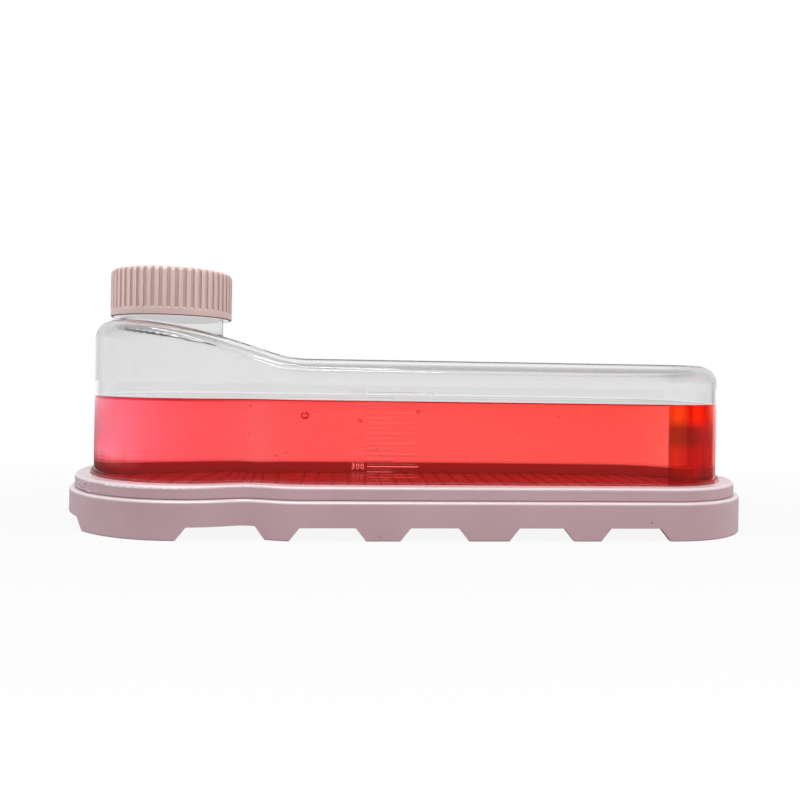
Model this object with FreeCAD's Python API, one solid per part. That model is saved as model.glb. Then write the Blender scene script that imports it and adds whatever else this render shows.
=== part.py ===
"""Cell culture flask with a gas-permeable bottom, in millimetres.

A clear vessel with an upright neck stands in a two-tier plastic base. Its open bottom is closed by a
thin silicone sheet that lies on an open grid, and air reaches the sheet from below, through notches in
the base. The origin is on the floor, in the middle of the base. +X runs along the flask away from the
neck, +Z is up, and the flask is the same on both sides of the XZ plane.

The feature that takes the most skill is the vessel: one wall of even thickness that follows the
lobe-and-waist plan, the shoulder's two arcs and the rounded top edge, inside as well as outside.
"""
import FreeCAD, Part
import math
import os

V = FreeCAD.Vector
AXIS = V(0, 0, 1)

# ---------------------------------------------------------------- plan of the base, seen from above
length = 291.2          # base, end to end
width = 116.4           # base, across its straight sides
lobe_r = 57.5           # round end under the neck
end_r = 41.7            # corners of the square end
waist_lap = 13.4        # the straight sides end this far short of the lobe circle's inner end
waist_turn_r = 25.0     # turn from the straight side into the waist
waist_slope = 18.0      # degrees, slope of the side as it runs into the waist
waist_r = 12.0          # hollow between the slope and the lobe

# ---------------------------------------------------------------- base stand, the lower tier
base_h = 14.9           # floor to the top of the lower tier
base_edge_r = 1.3
skirt_t = 2.6
notch_h = 5.0
notch_lean = 0.8        # sideways run of a notch's flank for each mm of height
side_notches = [(-72.9, 33.2), (-32.4, 29.2), (8.4, 26.4), (50.0, 25.5), (87.3, 27.9)]   # x, width at the floor
end_notch_w = 80.0      # the notch across the round end, at the floor
rim_w = 5.6             # outer rim, around the pocket that takes grid and membrane
pocket_depth = 1.5
shelf_w = 6.4           # ledge inside the rim, under the grid's border
shelf_t = 2.5
rib_h = 4.9             # ribs that carry the grid
rib_t = 2.0
long_ribs = 3
cross_ribs = 9

# ---------------------------------------------------------------- grid, membrane and frame
grid_t = 1.2
grid_pitch = 11.5
grid_bar = 1.8
grid_border = 4.0
membrane_t = 0.6
seat_gap = 0.2          # side clearance of what lies in a pocket
frame_h = 5.4
frame_inset = 2.1       # the upper tier stands this far in from the lower one
frame_edge_r = 1.4
groove_h = 0.5          # shadow groove between the two tiers
groove_d = 0.6

# ---------------------------------------------------------------- clear vessel
wall = 1.6
wall_inset = 9.3        # outer face of the vessel's wall, in from the outline of the base
body_h = 54.2           # membrane to the flat top
top_edge_r = 7.5
shoulder_rise = 15.8    # flat top to the highest part of the shoulder
shoulder_foot = 2.5     # foot of the slope, beyond the end of the straight sides
shoulder_slope = 17.5   # degrees
shoulder_top_r = 215.0  # long arc at the top of the slope
shoulder_foot_r = 47.0  # short arc at its foot
foot_out = 1.2          # thickened foot of the wall
foot_rise = 1.0         # how far it shows above the frame
flange_w = 2.2          # flange beyond the thickened foot
flange_t = 2.2

# ---------------------------------------------------------------- neck and cap
neck_set = 40.2         # neck's axis, in from the round end of the base
neck_r = 22.45
neck_wall = 1.6
neck_h = 20.0           # highest part of the shoulder to the rim
neck_foot_r = 1.2
thread_room = 1.75      # between neck and cap, for the two threads
cap_h = 20.6
cap_r = 26.0
cap_top_t = 1.8
cap_band_h = 2.8        # plain band under the ribs
cap_edge_r = 2.2
cap_ribs = 50
groove_share = 0.5      # groove width as a share of the ribs' spacing
groove_depth = 0.7
groove_turn = 4.6       # degrees, where the first groove starts
cap_bead = 0.35         # the cap's lower edge is bevelled
seal_t = 0.8
seal_w = 3.6
seal_lap = 0.5          # how far the ring reaches inside the neck's bore
filter_r = 16.0
filter_t = 0.4
vent_holes = 8
vent_hole_r = 2.0
vent_ring_r = 9.5
vent_recess_r = 14.0
vent_recess_d = 0.7

# ---------------------------------------------------------------- culture medium
fill_h = 38.0           # depth of the medium above the membrane
film = 0.1              # medium to wall

# ---------------------------------------------------------------- heights that follow
grid_z = base_h - pocket_depth
membrane_z = grid_z + grid_t
vessel_z = membrane_z + membrane_t
frame_z = base_h + frame_h
body_top = vessel_z + body_h
shoulder_top = body_top + shoulder_rise
neck_top = shoulder_top + neck_h
cap_top = neck_top + seal_t + cap_top_t
cap_z = cap_top - cap_h
flange_inset = wall_inset - foot_out - flange_w

# ---------------------------------------------------------------- places that follow
lobe_x = lobe_r - length / 2
waist_x = lobe_x + lobe_r - waist_lap
shoulder_foot_x = waist_x + shoulder_foot
neck_x = neck_set - length / 2


def at_angle(centre, radius, degrees):
    turn = math.radians(degrees)
    return V(centre.x + radius * math.cos(turn), centre.y + radius * math.sin(turn), centre.z)


def arc(centre, radius, start, end):
    """Arc about a vertical axis, from one angle to the other, in degrees."""
    middle = at_angle(centre, radius, (start + end) / 2)
    return Part.Arc(at_angle(centre, radius, start), middle, at_angle(centre, radius, end)).toShape()


def line(a, b):
    return Part.LineSegment(a, b).toShape()


def waist_centre():
    """Centre of the waist's hollow on the +Y side: it touches the lobe's circle and the sloping side."""
    slope = math.radians(waist_slope)
    out = V(-math.sin(slope), math.cos(slope), 0)
    along = V(-math.cos(slope), -math.sin(slope), 0)
    turn = V(waist_x, width / 2 - waist_turn_r, 0)
    start = turn + out * (waist_turn_r + waist_r)
    to_lobe = start - V(lobe_x, 0, 0)
    b = to_lobe.dot(along)
    c = to_lobe.dot(to_lobe) - (lobe_r + waist_r) ** 2
    return start + along * (-b - math.sqrt(b * b - c))


WAIST = waist_centre()


def outline(inset, z=0.0):
    """Closed plan outline, moved in from the outline of the base by the inset."""
    lift = V(0, 0, z)
    corner = V(length / 2 - end_r, width / 2 - end_r, 0) + lift
    turn = V(waist_x, width / 2 - waist_turn_r, 0) + lift
    hollow = WAIST + lift
    lobe = V(lobe_x, 0, 0) + lift
    lobe_angle = math.degrees(math.atan2(WAIST.y, WAIST.x - lobe_x))
    end = corner + V(end_r - inset, 0, 0)
    upper = [
        arc(corner, end_r - inset, 0, 90),
        line(corner + V(0, end_r - inset, 0), turn + V(0, waist_turn_r - inset, 0)),
        arc(turn, waist_turn_r - inset, 90, 90 + waist_slope),
    ]
    slope_end = at_angle(turn, waist_turn_r - inset, 90 + waist_slope)
    hollow_start = at_angle(hollow, waist_r + inset, waist_slope - 90)
    upper.append(line(slope_end, hollow_start))
    upper.append(arc(hollow, waist_r + inset, waist_slope - 90, lobe_angle - 180))
    mirror = [edge.mirror(V(0, 0, 0), V(0, 1, 0)) for edge in reversed(upper)]
    round_end = arc(lobe, lobe_r - inset, lobe_angle, 360 - lobe_angle)
    square_end = line(V(end.x, -end.y, z), V(end.x, end.y, z))
    return Part.Wire(Part.__sortEdges__(upper + [round_end] + mirror + [square_end]))


def slab(inset, low, high):
    return Part.Face(outline(inset, low)).extrude(V(0, 0, high - low))


def ring(outer, inner, low, high):
    return slab(outer, low, high).cut(slab(inner, low - 1, high + 1))


def box(x0, x1, y0, y1, z0, z1):
    return Part.makeBox(x1 - x0, y1 - y0, z1 - z0, V(x0, y0, z0))


def tube(radius, low, high, x=0.0):
    return Part.makeCylinder(radius, high - low, V(x, 0, low))


def rim_edges(shape, z, inset):
    """Edges of the outline with this inset that lie flat at height z."""
    inner = Part.Face(outline(inset + 0.05))
    outer = Part.Face(outline(inset - 0.05))
    found = []
    for edge in shape.Edges:
        box_ = edge.BoundBox
        if abs(box_.ZMin - z) > 1e-3 or abs(box_.ZMax - z) > 1e-3:
            continue
        middle = edge.valueAt((edge.FirstParameter + edge.LastParameter) / 2)
        middle.z = 0
        if outer.isInside(middle, 1e-6, True) and not inner.isInside(middle, 1e-6, True):
            found.append(edge)
    return found


# ---------------------------------------------------------------- base stand
def notch(x, mouth, reach_low, reach_high):
    """Cutter for a notch whose mouth is at the floor; it runs along Y between the two reaches."""
    top = mouth - 2 * notch_lean * notch_h
    low = mouth + 2 * notch_lean
    corners = [V(x - low / 2, reach_low, -1), V(x + low / 2, reach_low, -1),
               V(x + top / 2, reach_low, notch_h), V(x - top / 2, reach_low, notch_h)]
    face = Part.Face(Part.makePolygon(corners + corners[:1]))
    return face.extrude(V(0, reach_high - reach_low, 0))


def make_base_stand():
    skirt = ring(0, skirt_t, 0, base_h)
    rim = ring(0, rim_w, grid_z - shelf_t, base_h)
    shelf = ring(rim_w - 0.5, rim_w + shelf_w, grid_z - shelf_t, grid_z)
    bars = []
    inside_w = width - 2 * skirt_t
    inside_l = length - 2 * skirt_t
    for n in range(long_ribs):
        y = inside_w * ((n + 1) / (long_ribs + 1) - 0.5)
        bars.append(box(-inside_l / 2, inside_l / 2, y - rib_t / 2, y + rib_t / 2, grid_z - rib_h, grid_z))
    for n in range(cross_ribs):
        x = inside_l * ((n + 1) / (cross_ribs + 1) - 0.5)
        bars.append(box(x - rib_t / 2, x + rib_t / 2, -inside_w / 2, inside_w / 2, grid_z - rib_h, grid_z))
    lattice = bars[0].multiFuse(bars[1:]).common(slab(skirt_t - 0.5, 0, base_h))
    stand = skirt.multiFuse([rim, shelf, lattice]).removeSplitter()
    stand = stand.makeFillet(base_edge_r, rim_edges(stand, base_h, 0))
    return stand.cut(Part.makeCompound(notch_cutters()))


def notch_cutters():
    """Cutters through the skirt, along both sides and at the round end."""
    reach = width / 2 + 5
    clear = slab(skirt_t + 1.5, -2, notch_h + 1)
    tools = []
    for x, mouth in side_notches:
        for side in (-1, 1):
            low, high = sorted((side * reach, side * width / 4))
            tools.append(notch(x, mouth, low, high).cut(clear))
    end = notch(0, end_notch_w, -length, length)
    end.rotate(V(0, 0, 0), AXIS, 90)
    keep = box(-length, lobe_x - lobe_r / 4, -width, width, -2, base_h)
    tools.append(end.common(keep).cut(clear))
    return tools


# ---------------------------------------------------------------- grid, membrane, frame
def make_support_grid():
    inset = rim_w + seat_gap
    field = slab(inset, grid_z, membrane_z)
    across = int(width / 2 / grid_pitch)
    along = int(length / 2 / grid_pitch)
    half = grid_bar / 2
    bars = [box(-length / 2, length / 2, n * grid_pitch - half, n * grid_pitch + half, grid_z, membrane_z)
            for n in range(-across, across + 1)]
    bars += [box(n * grid_pitch - half, n * grid_pitch + half, -width / 2, width / 2, grid_z, membrane_z)
             for n in range(-along, along + 1)]
    mesh = bars[0].multiFuse(bars[1:]).common(field)
    border = ring(inset, inset + grid_border, grid_z, membrane_z)
    return mesh.fuse(border).removeSplitter()


def make_gas_membrane():
    return slab(rim_w + seat_gap, membrane_z, vessel_z)


def make_membrane_frame():
    outer = slab(frame_inset, base_h, frame_z)
    outer = outer.makeFillet(frame_edge_r, rim_edges(outer, frame_z, frame_inset))
    groove = ring(frame_inset - 1, frame_inset + groove_d, base_h - 1, base_h + groove_h)
    window = slab(wall_inset - foot_out - seat_gap, base_h - 1, frame_z + 1)
    pocket = slab(flange_inset - seat_gap, base_h - 1, vessel_z + flange_t)
    return outer.cut(groove).cut(window).cut(pocket)


# ---------------------------------------------------------------- clear vessel
def side_profile(depth, low):
    """Side view of the vessel's top, moved down by the depth: flat top, foot arc, slope, top arc."""
    slope = math.radians(shoulder_slope)
    bend = 1 - math.cos(slope)
    arcs_rise = (shoulder_top_r + shoulder_foot_r) * bend
    run = (shoulder_rise - arcs_rise) / math.sin(slope)
    up = V(math.sin(slope), 0, math.cos(slope))
    left = V(-math.cos(slope), 0, math.sin(slope))
    foot = V(shoulder_foot_x, 0, body_top + shoulder_foot_r)
    foot_r = shoulder_foot_r + depth
    half_turn = V(-math.sin(slope / 2), 0, -math.cos(slope / 2))
    slope_low = foot - up * foot_r
    slope_high = slope_low + left * run
    crest = slope_high - up * (shoulder_top_r - depth)
    crest_r = shoulder_top_r - depth
    crest_middle = crest + V(math.sin(slope / 2), 0, math.cos(slope / 2)) * crest_r
    crest_end = crest + V(0, 0, crest_r)
    right = V(length, 0, body_top - depth)
    far_left = V(-length, 0, crest_end.z)
    wire = Part.Wire([
        line(right, foot - V(0, 0, foot_r)),
        Part.Arc(foot - V(0, 0, foot_r), foot + half_turn * foot_r, slope_low).toShape(),
        line(slope_low, slope_high),
        Part.Arc(slope_high, crest_middle, crest_end).toShape(),
        line(crest_end, far_left),
        line(far_left, V(-length, 0, low)),
        line(V(-length, 0, low), V(length, 0, low)),
        line(V(length, 0, low), right),
    ])
    face = Part.Face(wire)
    face.translate(V(0, -width, 0))
    return face.extrude(V(0, 2 * width, 0))


def vessel_form(depth, low):
    """Solid form of the vessel without its neck, moved in from its outer face by the depth."""
    inset = wall_inset + depth
    form = slab(inset, low, shoulder_top + 10).common(side_profile(depth, low - 1))
    inner = Part.Face(outline(inset + 0.3))
    top_edges = []
    for edge in form.Edges:
        ends = [vertex.Point for vertex in edge.Vertexes]
        upright = len(ends) == 2 and math.hypot(ends[0].x - ends[1].x, ends[0].y - ends[1].y) < 1e-6
        middle = edge.valueAt((edge.FirstParameter + edge.LastParameter) / 2)
        crossing = inner.isInside(V(middle.x, middle.y, 0), 1e-6, True)
        if not upright and not crossing and edge.BoundBox.ZMin > low + 1:
            top_edges.append(edge)
    return form.makeFillet(top_edge_r - depth, top_edges)


def make_flask_body():
    form = vessel_form(0, vessel_z)
    neck = tube(neck_r, body_top, neck_top, neck_x)
    body = form.fuse(neck)
    foot_edges = []
    for edge in body.Edges:
        points = [edge.valueAt(edge.FirstParameter + share * (edge.LastParameter - edge.FirstParameter))
                  for share in (0.0, 0.3, 0.7, 1.0)]
        on_neck = all(abs(math.hypot(p.x - neck_x, p.y) - neck_r) < 1e-3 for p in points)
        below_rim = all(p.z < neck_top - 1 for p in points)
        upright = abs(points[0].x - points[3].x) < 1e-6 and abs(points[0].z - points[3].z) > 1
        if on_neck and below_rim and not upright:
            foot_edges.append(edge)
    body = body.makeFillet(neck_foot_r, foot_edges)
    thickened = slab(wall_inset - foot_out, vessel_z, frame_z + foot_rise)
    flange = slab(flange_inset, vessel_z, vessel_z + flange_t)
    body = body.multiFuse([thickened, flange])
    body = body.cut(vessel_form(wall, vessel_z - 1))
    return body.cut(tube(neck_r - neck_wall, body_top - 5, neck_top + 1, neck_x))


def make_culture_medium():
    return vessel_form(wall + film, vessel_z).common(slab(0, vessel_z, vessel_z + fill_h))


# ---------------------------------------------------------------- cap, seal and filter
def revolved(points, angle=360.0):
    """Solid turned about the neck's axis from (radius, height) points; a triple is an arc's middle."""
    edges = []
    start = points[0]
    middle = None
    for point in points[1:] + points[:1]:
        if len(point) == 3:
            middle = point
            continue
        a, b = V(start[0], 0, start[1]), V(point[0], 0, point[1])
        if middle:
            edges.append(Part.Arc(a, V(middle[0], 0, middle[1]), b).toShape())
        else:
            edges.append(line(a, b))
        start, middle = point, None
    solid = Part.Face(Part.Wire(edges)).revolve(V(0, 0, 0), AXIS, angle)
    solid.translate(V(neck_x, 0, 0))
    return solid


def corner_middle(radius, r, z):
    """Middle of the quarter round that ends at radius r below and at height z above."""
    back = radius * (1 - math.sqrt(0.5))
    return (r - back, z - back, "arc")


def make_screw_cap():
    bore_r = neck_r + thread_room
    shell = revolved([
        (0, cap_top), (cap_r - cap_edge_r, cap_top), corner_middle(cap_edge_r, cap_r, cap_top),
        (cap_r, cap_top - cap_edge_r), (cap_r, cap_z + cap_bead), (cap_r - cap_bead, cap_z),
        (bore_r, cap_z), (bore_r, cap_top - cap_top_t), (0, cap_top - cap_top_t)])
    floor_r = cap_r - groove_depth
    groove_z = cap_z + cap_band_h
    one = 360.0 / cap_ribs
    cutter = revolved([
        (floor_r, groove_z + groove_depth), (cap_r + 1, groove_z - 1), (cap_r + 1, cap_top + 1),
        (floor_r, cap_top + 1)], one * groove_share)
    cutters = []
    for n in range(cap_ribs):
        groove = cutter.copy()
        groove.rotate(V(neck_x, 0, 0), AXIS, one * n + groove_turn)
        cutters.append(groove)
    shell = shell.cut(Part.makeCompound(cutters))
    recess = tube(vent_recess_r, cap_top - vent_recess_d, cap_top + 1, neck_x)
    vents = [recess]
    for n in range(vent_holes):
        hole = tube(vent_hole_r, cap_top - cap_top_t - 1, cap_top + 1, neck_x + vent_ring_r)
        hole.rotate(V(neck_x, 0, 0), AXIS, 360.0 * n / vent_holes)
        vents.append(hole)
    return shell.cut(Part.makeCompound(vents))


def make_cap_seal():
    inner = neck_r - neck_wall - seal_lap
    return tube(inner + seal_w, neck_top, neck_top + seal_t, neck_x).cut(
        tube(inner, neck_top - 1, neck_top + seal_t + 1, neck_x))


def make_vent_filter():
    top = neck_top + seal_t
    return tube(filter_r, top - filter_t, top, neck_x)


def main():
    os.makedirs("parts", exist_ok=True)
    nodes = {
        "base_stand": make_base_stand(),
        "support_grid": make_support_grid(),
        "gas_membrane": make_gas_membrane(),
        "membrane_frame": make_membrane_frame(),
        "flask_body": make_flask_body(),
        "culture_medium": make_culture_medium(),
        "screw_cap": make_screw_cap(),
        "cap_seal": make_cap_seal(),
        "vent_filter": make_vent_filter(),
    }
    for name, shape in nodes.items():
        shape = shape.removeSplitter()
        shape.exportStep(os.path.join("parts", name + ".step"))
        box_ = shape.optimalBoundingBox(False, False)
        print("%-16s solids %d valid %s volume %.0f  x %.1f %.1f  y %.1f %.1f  z %.1f %.1f" % (
            name, len(shape.Solids), shape.isValid(), shape.Volume,
            box_.XMin, box_.XMax, box_.YMin, box_.YMax, box_.ZMin, box_.ZMax))


main()
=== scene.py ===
# %% [markdown]
# # A cell culture flask, dressed for the studio
# The real object is a clear moulded vessel on an opaque plastic stand. Red culture medium fills its lower
# part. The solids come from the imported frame, at their true size. This lesson gives them their finishes,
# and adds the small things that a mould, a liquid and a few months of use leave behind.

# %% Load the frame
import bpy
import bmesh
import math
import random
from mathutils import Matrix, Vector


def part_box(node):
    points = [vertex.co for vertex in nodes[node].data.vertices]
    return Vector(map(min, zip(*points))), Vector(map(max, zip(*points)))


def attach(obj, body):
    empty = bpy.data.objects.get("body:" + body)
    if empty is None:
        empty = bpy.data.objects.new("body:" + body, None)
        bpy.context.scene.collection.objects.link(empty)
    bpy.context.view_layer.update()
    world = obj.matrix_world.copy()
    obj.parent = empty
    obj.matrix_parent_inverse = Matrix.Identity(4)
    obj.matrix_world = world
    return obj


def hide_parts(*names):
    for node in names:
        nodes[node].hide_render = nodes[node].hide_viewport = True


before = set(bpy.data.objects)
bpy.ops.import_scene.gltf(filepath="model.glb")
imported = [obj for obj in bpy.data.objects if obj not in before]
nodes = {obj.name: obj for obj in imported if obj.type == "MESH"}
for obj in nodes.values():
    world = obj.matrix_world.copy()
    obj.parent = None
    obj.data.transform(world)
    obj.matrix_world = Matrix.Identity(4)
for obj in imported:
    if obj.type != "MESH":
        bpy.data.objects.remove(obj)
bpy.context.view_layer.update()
MM = 0.001
print("nodes in the frame:", sorted(nodes))

# %% [markdown]
# Many later places are worked out from the solids' own boxes, and others are given as numbers. The stand's
# ledge, the level of the medium and the neck's axis are read once here and get plain names. No box gives the
# cap's bore, the neck's radius or the thickness of the wall, so these are written down.

# %% Measure the solids
stand_low, stand_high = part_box("base_stand")
ledge_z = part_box("membrane_frame")[1].z
vessel_low, vessel_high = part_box("flask_body")
fill_low, fill_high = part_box("culture_medium")
cap_low, cap_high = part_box("screw_cap")
neck_x = (cap_low.x + cap_high.x) / 2
cap_r = (cap_high.x - cap_low.x) / 2
front_y = vessel_low.y
CAP_BORE = 24.2 * MM
NECK_R = 22.45 * MM
WALL = 1.6 * MM
print("ledge %.4f  medium %.4f  neck x %.4f  cap radius %.4f" % (ledge_z, fill_high.z, neck_x, cap_r))

# %% [markdown]
# ## Materials
# A finish is a small graph of nodes, which could be wired by hand, node by node. Helpers keep each graph
# short and its code readable. Values that are the same all over a surface go straight onto the shader, so
# that they survive an export.

# %% Start a material
BLACK, WHITE = (0.0, 0.0, 0.0), (1.0, 1.0, 1.0)


def start_material(name, **values):
    """New material with a Principled shader; returns its tree and the shader."""
    material = bpy.data.materials.new(name)
    material.use_nodes = True
    tree = material.node_tree
    shader = tree.nodes["Principled BSDF"]
    for socket, value in values.items():
        shader.inputs[socket.replace("_", " ")].default_value = value
    return material, tree, shader


def add_node(tree, kind, settings=(), **values):
    """Node of a kind, with its settings and the values of its sockets."""
    node = tree.nodes.new("ShaderNode" + kind)
    for key, value in dict(settings).items():
        setattr(node, key, value)
    for socket, value in values.items():
        node.inputs[socket.replace("_", " ")].default_value = value
    return node


def present_colour(material):
    """Tree and shader of a material, and the socket that feeds its colour so far."""
    tree = material.node_tree
    shader = tree.nodes["Principled BSDF"]
    return tree, shader, shader.inputs["Base Color"].links[0].from_socket


def set_glow(tree, shader, colour):
    """The shader gives off a colour of its own, at full strength."""
    tree.links.new(colour, shader.inputs["Emission Color"])
    shader.inputs["Emission Strength"].default_value = 1.0


# %% [markdown]
# Most finishes change with a place: above or below a level, near an end, on upright faces only. So the
# number helpers turn a place or a direction into a factor from 0 to 1, and the colour helpers spend it.

# %% Numbers in a graph
def combine(tree, operation, first, second):
    """Math node over two sockets."""
    node = add_node(tree, "Math", {"operation": operation})
    tree.links.new(first, node.inputs[0])
    tree.links.new(second, node.inputs[1])
    return node.outputs["Value"]


def overlap(tree, first, second):
    """Factor that is high only where both factors are."""
    return combine(tree, "MULTIPLY", first, second)


def absolute(tree, value):
    """A number without its sign."""
    node = add_node(tree, "Math", {"operation": "ABSOLUTE"})
    tree.links.new(value, node.inputs[0])
    return node.outputs["Value"]


def ranged(tree, value, low, high, start=0.0, end=1.0, smooth=False):
    """Number that runs from start to end while another runs from low to high, and stays within them."""
    span = add_node(tree, "MapRange", {"interpolation_type": "SMOOTHSTEP" if smooth else "LINEAR"},
                    From_Min=low, From_Max=high, To_Min=start, To_Max=end)
    tree.links.new(value, span.inputs["Value"])
    return span.outputs["Result"]


def vector_math(tree, operation, first, *others):
    """Vector math node; the first is a socket, the others are sockets or plain vectors."""
    node = add_node(tree, "VectorMath", {"operation": operation})
    tree.links.new(first, node.inputs[0])
    for index, other in enumerate(others, 1):
        if isinstance(other, tuple):
            node.inputs[index].default_value = other
        else:
            tree.links.new(other, node.inputs[index])
    return node.outputs["Value" if operation in ("LENGTH", "DISTANCE", "DOT_PRODUCT") else "Vector"]


# %% Places in a graph
def part_along(tree, vector, axis):
    """One coordinate of a vector."""
    split = add_node(tree, "SeparateXYZ")
    tree.links.new(vector, split.inputs["Vector"])
    return split.outputs[axis]


def object_place(tree):
    """The place on the object, in metres."""
    return add_node(tree, "TexCoord").outputs["Object"]


def along(tree, axis, low, high):
    """Factor that runs from 0 at one place along an axis to 1 at another."""
    return ranged(tree, part_along(tree, object_place(tree), axis), low, high)


def upward_part(tree):
    """How far a face looks up: 1 on a level top, 0 on an upright side."""
    return part_along(tree, add_node(tree, "NewGeometry").outputs["Normal"], "Z")


# %% Colours in a graph
def grey(level):
    """Plain grey of a level."""
    return (level, level, level)


def colour_ramp(tree, factor, stops):
    """Colour ramp over a factor; stops are (position, colour) pairs."""
    ramp = add_node(tree, "ValToRGB")
    elements = ramp.color_ramp.elements
    while len(elements) < len(stops):
        elements.new(0.5)
    for element, (position, colour) in zip(elements, stops):
        element.position = position
        element.color = (*colour, 1.0)
    tree.links.new(factor, ramp.inputs["Fac"])
    return ramp.outputs["Color"]


def blend(tree, factor, first, second):
    """Colour that runs from the first to the second with a factor; each is a socket or plain RGB."""
    mix = add_node(tree, "Mix", {"data_type": "RGBA"})
    tree.links.new(factor, mix.inputs["Factor"])
    for index, colour in ((6, first), (7, second)):
        if isinstance(colour, tuple):
            mix.inputs[index].default_value = (*colour, 1.0)
        else:
            tree.links.new(colour, mix.inputs[index])
    return mix.outputs[2]


def add_shaders(tree, first, second):
    """Sum of two shaders."""
    both = add_node(tree, "AddShader")
    tree.links.new(first, both.inputs[0])
    tree.links.new(second, both.inputs[1])
    return both.outputs["Shader"]


# %% [markdown]
# A finish goes onto a solid by filling its material slots. A new piece gets its mesh from plain lists of
# points and faces, which keeps it closed and easy to check.

# %% Put a finish on a piece
def paint(node_name, material):
    """A frame node keeps its mesh and gets a finish in every material slot."""
    mesh = nodes[node_name].data
    for index in range(len(mesh.materials)):
        mesh.materials[index] = material
    print("finish of %-15s %s" % (node_name, material.name))


def mesh_piece(name, verts, faces, material, smooth_under=30.0):
    """New mesh object with one material, smooth except at edges sharper than the angle."""
    mesh = bpy.data.meshes.new(name)
    mesh.from_pydata(verts, [], faces)
    mesh.materials.append(material)
    shape = bmesh.new()
    shape.from_mesh(mesh)
    bmesh.ops.recalc_face_normals(shape, faces=shape.faces)
    shape.to_mesh(mesh)
    shape.free()
    mesh.shade_smooth()
    mesh.set_sharp_from_angle(angle=math.radians(smooth_under))
    piece = bpy.data.objects.new(name, mesh)
    bpy.context.scene.collection.objects.link(piece)
    print("piece %-16s %d faces" % (name, len(faces)))
    return piece


# %% [markdown]
# ## Opaque plastic
# The stand and the frame are injection moulded in a dusty mauve. Such a surface isn't one flat colour: the
# pigment is a little uneven, and spark-eroded steel leaves a fine grain that softens every highlight. One
# flat value would look like paint. Two noises do both jobs here. The wide one shifts the colour by a few
# percent, the fine one drives a bump.

# %% Moulded plastic
def moulded_plastic(name, colour, roughness, patch=0.06, grain=0.02 * MM, grain_size=0.6 * MM, gloss=0.0):
    """Opaque plastic with clouded colour and a fine grain."""
    material, tree, shader = start_material(name, Roughness=roughness, IOR=1.5, Coat_Weight=gloss,
                                            Coat_Roughness=0.42)
    place = object_place(tree)
    cloud = add_node(tree, "TexNoise", Scale=28.0, Detail=4.0, Roughness=0.6)
    tree.links.new(place, cloud.inputs["Vector"])
    dark = tuple(part * (1 - patch) for part in colour)
    light = tuple(min(1.0, part * (1 + patch)) for part in colour)
    tree.links.new(colour_ramp(tree, cloud.outputs["Fac"], [(0.3, dark), (0.7, light)]),
                   shader.inputs["Base Color"])
    fine = add_node(tree, "TexNoise", Scale=1.0 / grain_size, Detail=2.0)
    bump = add_node(tree, "Bump", Distance=grain, Strength=0.5)
    tree.links.new(place, fine.inputs["Vector"])
    tree.links.new(fine.outputs["Fac"], bump.inputs["Height"])
    tree.links.new(bump.outputs["Normal"], shader.inputs["Normal"])
    return material


# %% [markdown]
# ## Stand and frame
# Upward faces and the rounded upper edges get a painted highlight: a factor from the face's own direction
# blends in a pale tint, fully on the rounded edges and somewhat less on flat tops. The feet's lowest edge
# gets a painted contact shade. One dark speck and a short row of scratches sit on the front: small round
# spots, each set by distance from a point.

# %% Mauve plastic
MAUVE, TOP_HIGHLIGHT_TINT, FOOT_CONTACT_SHADE = (0.51, 0.33, 0.36), (0.66, 0.57, 0.60), (0.30, 0.17, 0.24)
DARK_SPECK, SCRATCH = (0.05, 0.03, 0.04), (0.34, 0.23, 0.26)
SPECK_R, SCRATCH_R = 0.4 * MM, 0.34 * MM
SPOT_CORE = 0.55
FOOT_EDGE_Z = (0.55 * MM, 0.15 * MM)
TOP_HIGHLIGHT_STOPS = [(0.25, BLACK), (0.6, WHITE), (0.9, WHITE), (0.99, grey(0.75))]
speck_place = (93.3 * MM, stand_low.y, 7.2 * MM)
scratch_places = [((-13.5 + 0.5 * step) * MM, stand_low.y, (2.1 - 0.3 * step) * MM) for step in range(4)]


def spot(tree, tint, centre, radius, shade):
    """Tint with a small round spot of another shade."""
    away = vector_math(tree, "DISTANCE", object_place(tree), centre)
    return blend(tree, ranged(tree, away, radius * SPOT_CORE, radius, 1.0, 0.0, smooth=True), tint, shade)


def stand_finish():
    """Mauve plastic with a painted highlight on upward faces and rounded edges, painted contact shade at the
    feet, a speck and scratches.
    """
    material = moulded_plastic("mauve_plastic", MAUVE, roughness=0.36, gloss=0.6)
    tree, shader, tint = present_colour(material)
    # Painted highlight: upward faces and rounded upper edges blend towards a pale tint.
    top_highlight = colour_ramp(tree, upward_part(tree), TOP_HIGHLIGHT_STOPS)
    tint = blend(tree, top_highlight, tint, TOP_HIGHLIGHT_TINT)
    tint = spot(tree, tint, speck_place, SPECK_R, DARK_SPECK)
    for scratch_place in scratch_places:
        tint = spot(tree, tint, scratch_place, SCRATCH_R, SCRATCH)
    # Painted contact shade: the lowest half millimetre of the stand darkens.
    tint = blend(tree, along(tree, "Z", *FOOT_EDGE_Z), tint, FOOT_CONTACT_SHADE)
    tree.links.new(tint, shader.inputs["Base Color"])
    return material


stand_plastic = stand_finish()
paint("base_stand", stand_plastic)
paint("membrane_frame", stand_plastic)

# %% [markdown]
# ## Cap
# The cap's ribs are modelled, and painted shade and highlight deepen them: the tint follows the distance from
# the cap's axis, darker down in a groove as painted shade and lighter on a rib's crest as painted highlight.
# Its lining, seen through the clear neck, is grey and glows with painted light, so it looks pale, and the
# lower rim carries a dark plum line of painted shade and painted red reflection from the medium.

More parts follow.
